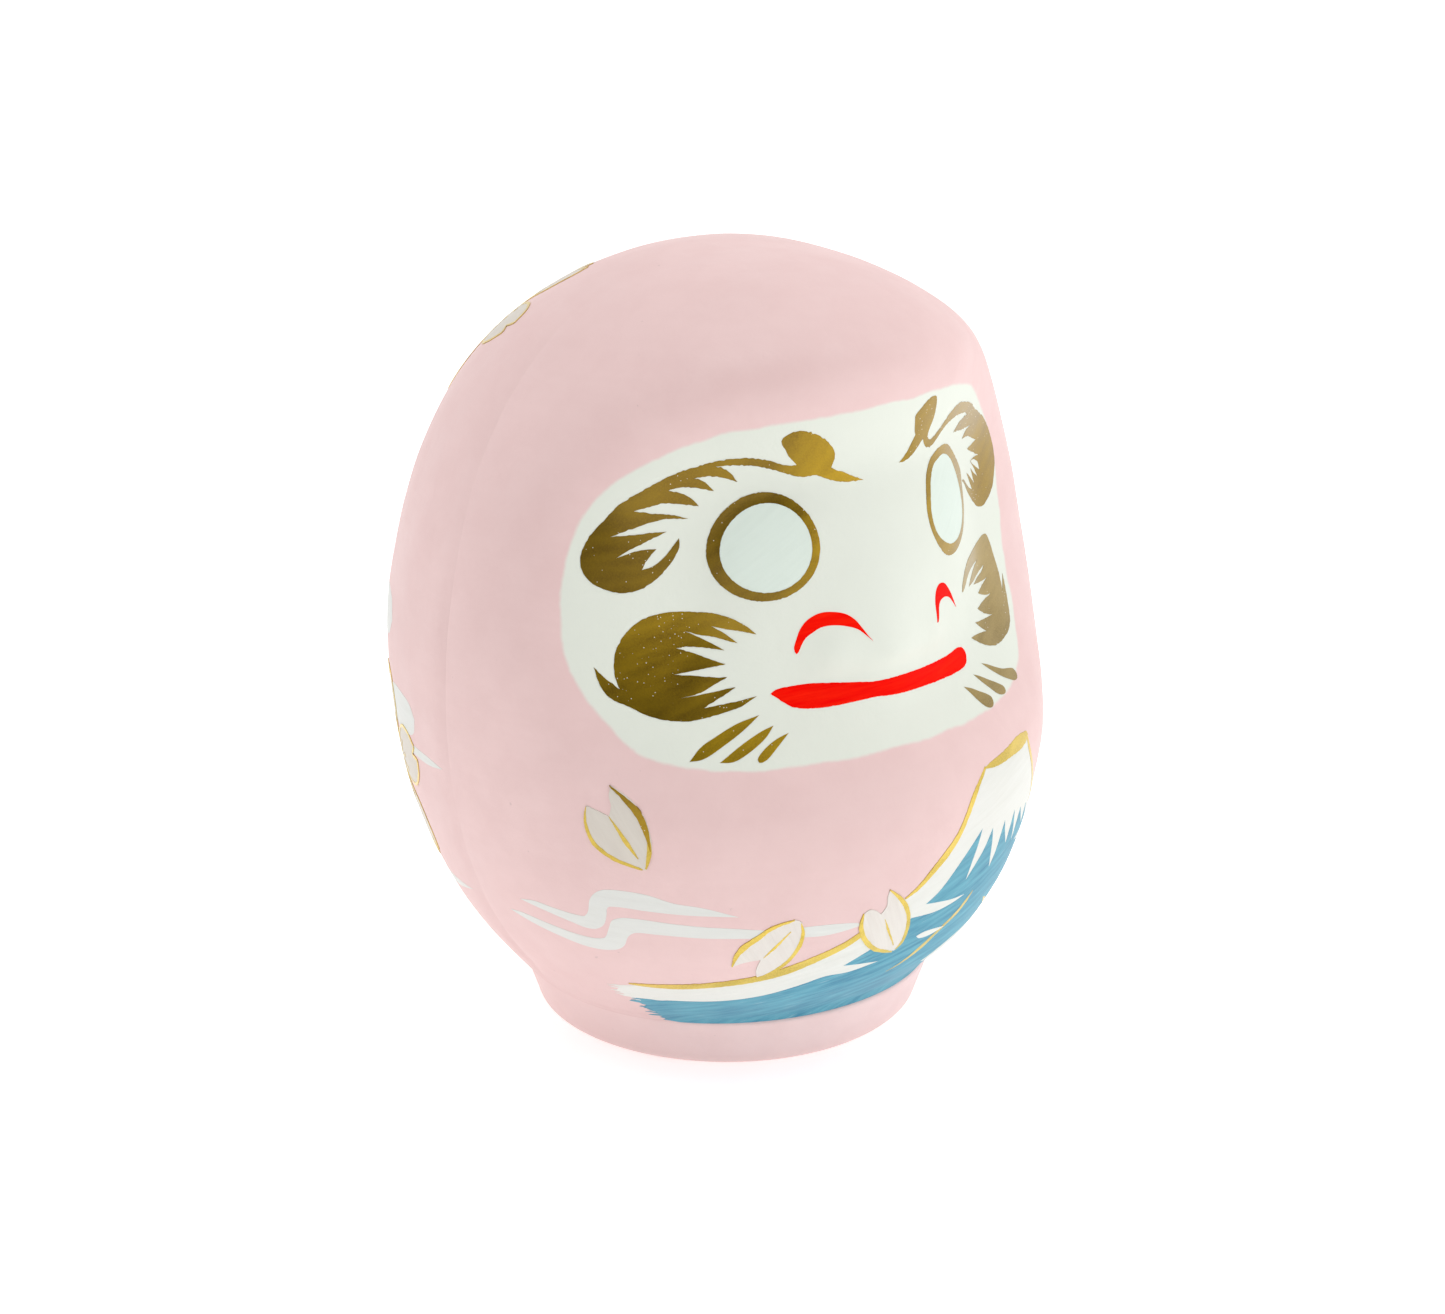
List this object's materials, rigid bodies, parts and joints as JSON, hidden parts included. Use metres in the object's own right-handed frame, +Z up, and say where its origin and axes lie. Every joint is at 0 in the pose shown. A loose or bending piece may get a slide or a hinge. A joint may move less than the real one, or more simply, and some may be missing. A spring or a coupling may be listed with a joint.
{
  "type": "daruma doll",
  "caption": "Round-bottomed hollow paper wishing doll with a hollowed face, a clay-weighted foot and a flat resting disc.",
  "frame": {"origin": "centre of the round paper disc that the doll stands on", "axes": "+Z up through the crown, -Y the way the face looks, +X to the doll's left hand (the viewer's right)"},
  "size_m": [0.18, 0.1765, 0.21],
  "materials": {
    "painted_paper": "matte pink paint over papier-mache",
    "painted_clay": "matte pink paint over clay",
    "pasted_paper": "uncoated paper strip",
    "base_sheet": "uncoated fibrous paper",
    "face_white": "sprayed matte white paint",
    "gold_paint": "brushed metallic gold paint",
    "red_paint": "satin red paint",
    "eye_white": "satin pale paint",
    "blue_paint": "brushed matte blue paint",
    "cream_paint": "matte cream paint",
    "mist_paint": "matte white brush paint"
  },
  "bodies": {
    "root": {"front_shell": "painted_paper", "back_shell": "painted_paper", "seam_strip": "pasted_paper", "base_weight": "painted_clay", "base_paper": "base_sheet"}
  },
  "joints": []
}
